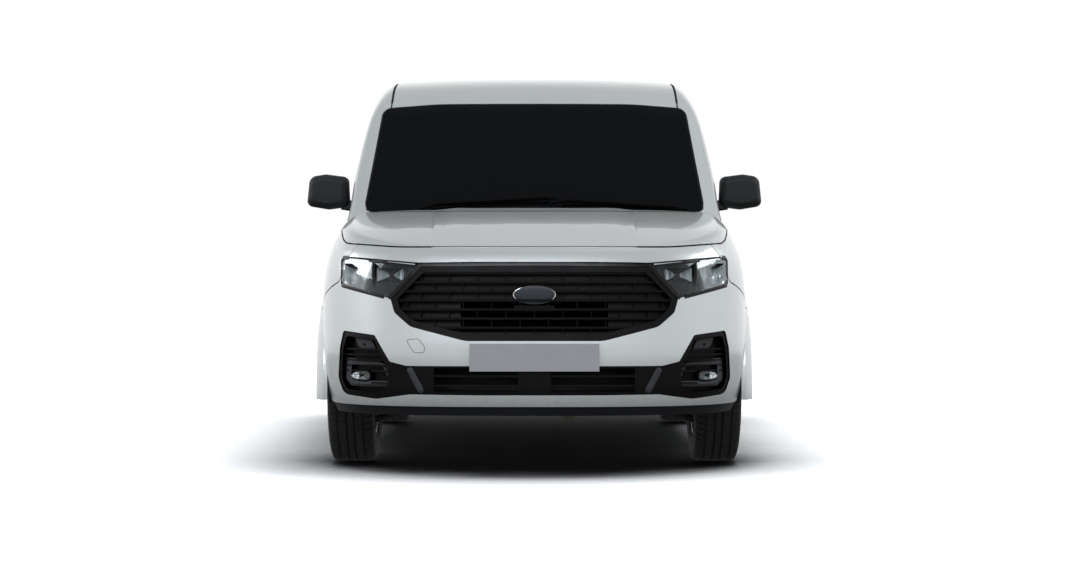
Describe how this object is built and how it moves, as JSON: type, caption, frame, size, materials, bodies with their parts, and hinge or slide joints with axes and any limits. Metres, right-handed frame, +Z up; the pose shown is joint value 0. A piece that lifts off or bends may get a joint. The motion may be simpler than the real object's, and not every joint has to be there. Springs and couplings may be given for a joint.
{
  "type": "panel van",
  "caption": "Compact panel van with a hollow cab and load space, hinged front and rear doors, bonnet, steered front wheels and rolling wheels.",
  "frame": {"origin": "on the ground, at mid length and mid width of the van", "axes": "+X to the van's left, +Y to the rear, +Z up"},
  "size_m": [2.1196, 4.515, 1.833],
  "materials": {
    "body_paint": "gloss silver grey enamel",
    "black_plastic": "fine grained, moulded in colour",
    "lamp_reflector": "dark moulded housing with bright bowls",
    "clear_lamp_glass": "clear polycarbonate",
    "red_lamp_glass": "red acrylic",
    "tinted_glass": "dark tinted glass",
    "plate_grey": "plain grey plate",
    "inner_steel": "satin inner paint",
    "chassis_steel": "black underbody paint",
    "cast_metal": "raw casting",
    "radiator_black": "black coated fins",
    "tank_plastic": "moulded",
    "exhaust_steel": "dull steel",
    "seat_fabric": "woven charcoal cloth",
    "cabin_plastic": "grained moulding",
    "tyre_rubber": "road tyre",
    "wheel_steel": "dark painted pressed steel"
  },
  "bodies": {
    "van": {"front_wing_left": "body_paint", "front_wing_right": "body_paint", "nose_panel": "body_paint", "front_bumper": "body_paint", "body_side_left": "body_paint", "body_side_right": "body_paint", "roof": "body_paint", "sliding_door": "body_paint", "rear_bumper": "body_paint", "upper_grille": "black_plastic", "lower_grille": "black_plastic", "front_valance": "black_plastic", "cowl": "black_plastic", "wipers": "black_plastic", "headlamp_housings": "lamp_reflector", "lamp_glasses": "clear_lamp_glass", "tail_lamps": "red_lamp_glass", "windscreen": "tinted_glass", "number_plate": "plate_grey", "floor_pan": "inner_steel", "bulkhead": "inner_steel", "front_structure": "chassis_steel", "engine_block": "cast_metal", "radiator": "radiator_black", "rear_axle": "chassis_steel", "fuel_tank": "tank_plastic", "exhaust": "exhaust_steel", "seats": "seat_fabric", "dashboard": "cabin_plastic", "steering_wheel": "cabin_plastic"},
    "door_left": {"front_door_left": "body_paint", "door_glass_left": "tinted_glass", "mirror_left": "black_plastic"},
    "door_right": {"front_door_right": "body_paint", "door_glass_right": "tinted_glass", "mirror_right": "black_plastic"},
    "bonnet_lid": {"bonnet": "body_paint"},
    "rear_leaf_left": {"rear_door_left": "body_paint"},
    "rear_leaf_right": {"rear_door_right": "body_paint"},
    "steer_left": {"knuckle_left": "cast_metal"},
    "steer_right": {"knuckle_right": "cast_metal"},
    "road_wheel_front_left": {"tyre_front_left": "tyre_rubber", "wheel_front_left": "wheel_steel"},
    "road_wheel_front_right": {"tyre_front_right": "tyre_rubber", "wheel_front_right": "wheel_steel"},
    "road_wheel_rear_left": {"tyre_rear_left": "tyre_rubber", "wheel_rear_left": "wheel_steel"},
    "road_wheel_rear_right": {"tyre_rear_right": "tyre_rubber", "wheel_rear_right": "wheel_steel"}
  },
  "joints": [
    {"name": "door_left_hinge", "type": "hinge", "parent": "van", "child": "door_left", "pos_m": [0.8595, -0.8775, 0.6], "axis": [0, 0, -1], "range_deg": [0, 66]},
    {"name": "door_right_hinge", "type": "hinge", "parent": "van", "child": "door_right", "pos_m": [-0.8595, -0.8775, 0.6], "axis": [0, 0, 1], "range_deg": [0, 66]},
    {"name": "bonnet_hinge", "type": "hinge", "parent": "van", "child": "bonnet_lid", "pos_m": [0, -1.1325, 1.04], "axis": [-1, 0, 0], "range_deg": [0, 50]},
    {"name": "rear_left_hinge", "type": "hinge", "parent": "van", "child": "rear_leaf_left", "pos_m": [0.7795, 2.2238, 0.9165], "axis": [0, 0.04, -0.9992], "range_deg": [0, 165]},
    {"name": "rear_right_hinge", "type": "hinge", "parent": "van", "child": "rear_leaf_right", "pos_m": [-0.7795, 2.2238, 0.9165], "axis": [0, -0.04, 0.9992], "range_deg": [0, 165]},
    {"name": "steering_left", "type": "hinge", "parent": "van", "child": "steer_left", "pos_m": [0.735, -1.3675, 0.2], "axis": [-0.229, 0, 0.9734], "range_deg": [-35, 35]},
    {"name": "steering_right", "type": "hinge", "parent": "van", "child": "steer_right", "pos_m": [-0.735, -1.3675, 0.2], "axis": [0.229, 0, 0.9734], "range_deg": [-35, 35]},
    {"name": "spin_front_left", "type": "hinge", "parent": "steer_left", "child": "road_wheel_front_left", "pos_m": [0.788, -1.3675, 0.326], "axis": [1, 0, 0], "continuous": true},
    {"name": "spin_front_right", "type": "hinge", "parent": "steer_right", "child": "road_wheel_front_right", "pos_m": [-0.788, -1.3675, 0.326], "axis": [1, 0, 0], "continuous": true},
    {"name": "spin_rear_left", "type": "hinge", "parent": "van", "child": "road_wheel_rear_left", "pos_m": [0.807, 1.3875, 0.326], "axis": [1, 0, 0], "continuous": true},
    {"name": "spin_rear_right", "type": "hinge", "parent": "van", "child": "road_wheel_rear_right", "pos_m": [-0.807, 1.3875, 0.326], "axis": [1, 0, 0], "continuous": true}
  ],
  "couplings": [
    {"joint": "steering_right", "follows": "steering_left", "ratio": 1}
  ]
}
